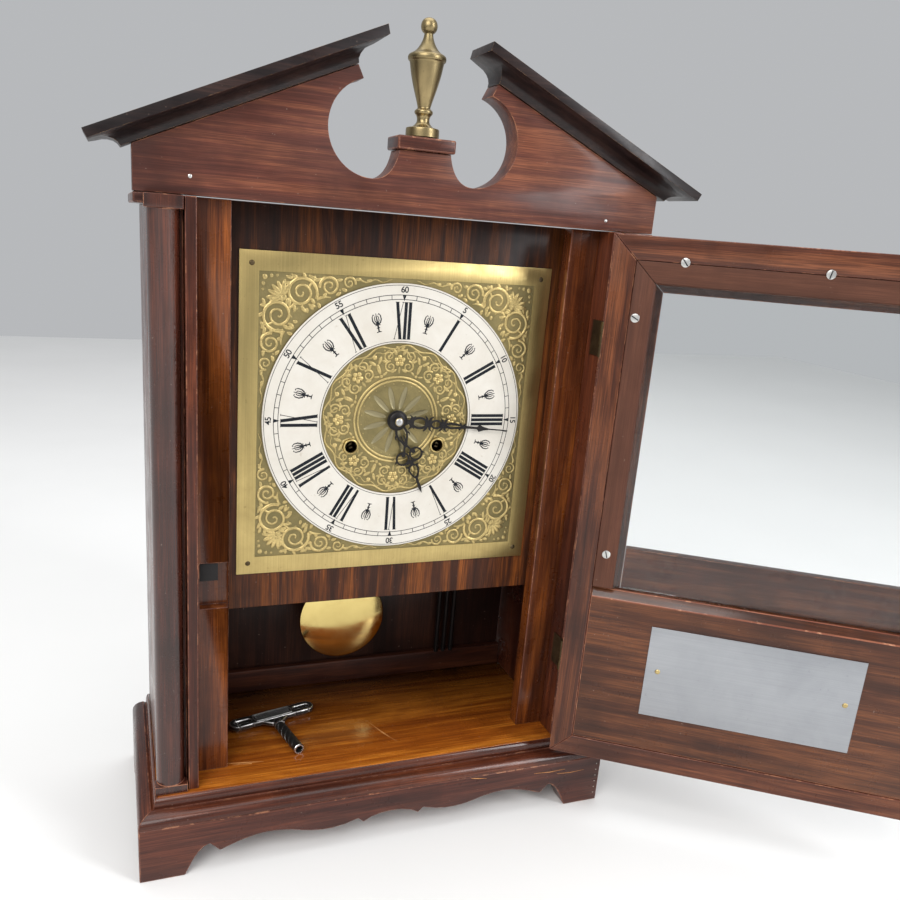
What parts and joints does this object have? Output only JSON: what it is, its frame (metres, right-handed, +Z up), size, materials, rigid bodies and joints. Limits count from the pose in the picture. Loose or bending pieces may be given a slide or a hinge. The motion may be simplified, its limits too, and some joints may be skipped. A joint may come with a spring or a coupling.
{
  "type": "mantel clock",
  "caption": "Mantel clock in a mahogany case with a broken scroll pediment, a square brass dial, a pendulum movement and a glazed front door standing open.",
  "frame": {"origin": "middle of the bounding box at the feet's undersides, with the front door standing open", "axes": "+Z up, -Y out of the dial, +X to the dial's right as one faces it"},
  "size_m": [0.639, 0.3552, 0.6435],
  "materials": {
    "mahogany": "stained and french polished, worn",
    "golden_wood": "varnished, scratched",
    "ebonised_wood": "ebonised, worn at the edges",
    "aged_brass": "brushed, aged",
    "antique_brass": "cast, darkened",
    "polished_brass": "polished",
    "silvered_brass": "silvered, tarnished",
    "black_steel": "blackened",
    "blue_steel": "plain steel, darkened",
    "aluminium": "brushed",
    "glass": "clear, flat"
  },
  "bodies": {
    "case": {"plinth_front": "mahogany", "plinth_left": "mahogany", "plinth_right": "mahogany", "base_moulding_front": "mahogany", "base_moulding_left": "mahogany", "base_moulding_right": "mahogany", "side_left": "mahogany", "side_right": "mahogany", "top_board": "mahogany", "column_left": "mahogany", "column_right": "mahogany", "jamb_left": "mahogany", "jamb_right": "mahogany", "stile_right": "mahogany", "stile_left": "mahogany", "pediment_board": "mahogany", "finial_block": "mahogany", "dial_board": "mahogany", "back_panel": "mahogany", "floor_board": "golden_wood", "raking_moulding_left": "ebonised_wood", "raking_moulding_right": "ebonised_wood", "catch_plate": "aged_brass", "dial_plate": "aged_brass", "movement_frame": "aged_brass", "hinge_upper_case": "aged_brass", "hinge_lower_case": "aged_brass", "finial": "antique_brass", "chapter_ring": "silvered_brass", "gong": "blue_steel"},
    "front_door": {"door_stile_hinge": "mahogany", "door_stile_latch": "mahogany", "door_rail_top": "mahogany", "door_rail_bottom": "mahogany", "door_rail_middle": "mahogany", "door_panel": "mahogany", "door_glass": "glass", "bead_latch": "mahogany", "bead_hinge": "mahogany", "bead_top": "mahogany", "plaque": "aluminium", "hinge_upper_door": "aged_brass", "hinge_lower_door": "aged_brass"},
    "door_latch": {"door_knob": "aged_brass"},
    "rear_door": {"rear_door": "mahogany"},
    "rear_button": {"rear_button": "aged_brass"},
    "centre_arbor": {"centre_arbor": "aged_brass", "minute_hand": "black_steel"},
    "hour_wheel": {"hour_hand": "black_steel"},
    "minute_wheel": {"minute_wheel": "aged_brass"},
    "third_wheel": {"third_wheel": "aged_brass"},
    "escape_wheel": {"escape_wheel": "aged_brass"},
    "strike_barrel": {"barrel_strike": "aged_brass"},
    "time_barrel": {"barrel_time": "aged_brass"},
    "pendulum": {"pendulum_rod": "blue_steel"},
    "bob": {"pendulum_bob": "polished_brass"},
    "rating_nut": {"rating_nut": "aged_brass"},
    "anchor": {"anchor": "blue_steel"},
    "hammer": {"hammer": "blue_steel"},
    "key": {"winding_key": "black_steel"}
  },
  "joints": [
    {"name": "front_door_hinge", "type": "hinge", "parent": "case", "child": "front_door", "pos_m": [0.06146, 0.01631, 0.4296], "axis": [0, 0, 1], "range_deg": [-146, 24]},
    {"name": "door_latch_turn", "type": "hinge", "parent": "front_door", "child": "door_latch", "pos_m": [0.28823, -0.18309, 0.227], "axis": [-0.5592, -0.829, 0], "range_deg": [0, 180]},
    {"name": "rear_door_hinge", "type": "hinge", "parent": "case", "child": "rear_door", "pos_m": [-0.01794, 0.17341, 0.317], "axis": [0, 0, -1], "range_deg": [0, 110]},
    {"name": "rear_button_turn", "type": "hinge", "parent": "case", "child": "rear_button", "pos_m": [-0.17974, 0.05481, 0.317], "axis": [0, 1, 0], "range_deg": [0, 90]},
    {"name": "centre_turn", "type": "hinge", "parent": "case", "child": "centre_arbor", "pos_m": [-0.09474, 0.05481, 0.3554], "axis": [0, 1, 0], "continuous": true},
    {"name": "hour_turn", "type": "hinge", "parent": "case", "child": "hour_wheel", "pos_m": [-0.09474, 0.05481, 0.3554], "axis": [0, 1, 0], "continuous": true},
    {"name": "minute_wheel_turn", "type": "hinge", "parent": "case", "child": "minute_wheel", "pos_m": [-0.09474, 0.05481, 0.3362], "axis": [0, 1, 0], "continuous": true},
    {"name": "third_wheel_turn", "type": "hinge", "parent": "case", "child": "third_wheel", "pos_m": [-0.07931, 0.05481, 0.37378], "axis": [0, 1, 0], "continuous": true},
    {"name": "escape_wheel_turn", "type": "hinge", "parent": "case", "child": "escape_wheel", "pos_m": [-0.09474, 0.05481, 0.39217], "axis": [0, 1, 0], "continuous": true},
    {"name": "strike_barrel_turn", "type": "hinge", "parent": "case", "child": "strike_barrel", "pos_m": [-0.13124, 0.05481, 0.3337], "axis": [0, 1, 0], "continuous": true},
    {"name": "time_barrel_turn", "type": "hinge", "parent": "case", "child": "time_barrel", "pos_m": [-0.05824, 0.05481, 0.3337], "axis": [0, 1, 0], "continuous": true},
    {"name": "pendulum_swing", "type": "hinge", "parent": "case", "child": "pendulum", "pos_m": [-0.09474, 0.13981, 0.4254], "axis": [0, 1, 0], "range_deg": [-6.3, 0.7]},
    {"name": "bob_slide", "type": "slide", "parent": "pendulum", "child": "bob", "axis": [0.0489, 0, 0.9988], "range_m": [-0.003, 0.003]},
    {"name": "rating_nut_turn", "type": "hinge", "parent": "bob", "child": "rating_nut", "pos_m": [-0.10963, 0.13981, 0.12086], "axis": [0.0489, 0, 0.9988], "range_deg": [-2200, 2200]},
    {"name": "anchor_swing", "type": "hinge", "parent": "case", "child": "anchor", "pos_m": [-0.09474, 0.05481, 0.4254], "axis": [0, 1, 0], "range_deg": [-6.3, 0.7]},
    {"name": "hammer_swing", "type": "hinge", "parent": "case", "child": "hammer", "pos_m": [-0.04274, 0.13381, 0.3154], "axis": [0, 1, 0], "range_deg": [0, 12], "stiffness_Nm_per_rad": 0.02, "springref_deg": -28.65},
    {"name": "key_lift", "type": "slide", "parent": "case", "child": "key", "axis": [0, 0, 1], "range_m": [0, 0.1]}
  ],
  "couplings": [
    {"joint": "hour_turn", "follows": "centre_turn", "ratio": 0.083333},
    {"joint": "minute_wheel_turn", "follows": "centre_turn", "ratio": -0.33333},
    {"joint": "third_wheel_turn", "follows": "centre_turn", "ratio": -4},
    {"joint": "escape_wheel_turn", "follows": "centre_turn", "ratio": 16},
    {"joint": "anchor_swing", "follows": "pendulum_swing", "ratio": 1},
    {"joint": "rating_nut_turn", "follows": "bob_slide", "rad_per_m": 6283.2}
  ]
}
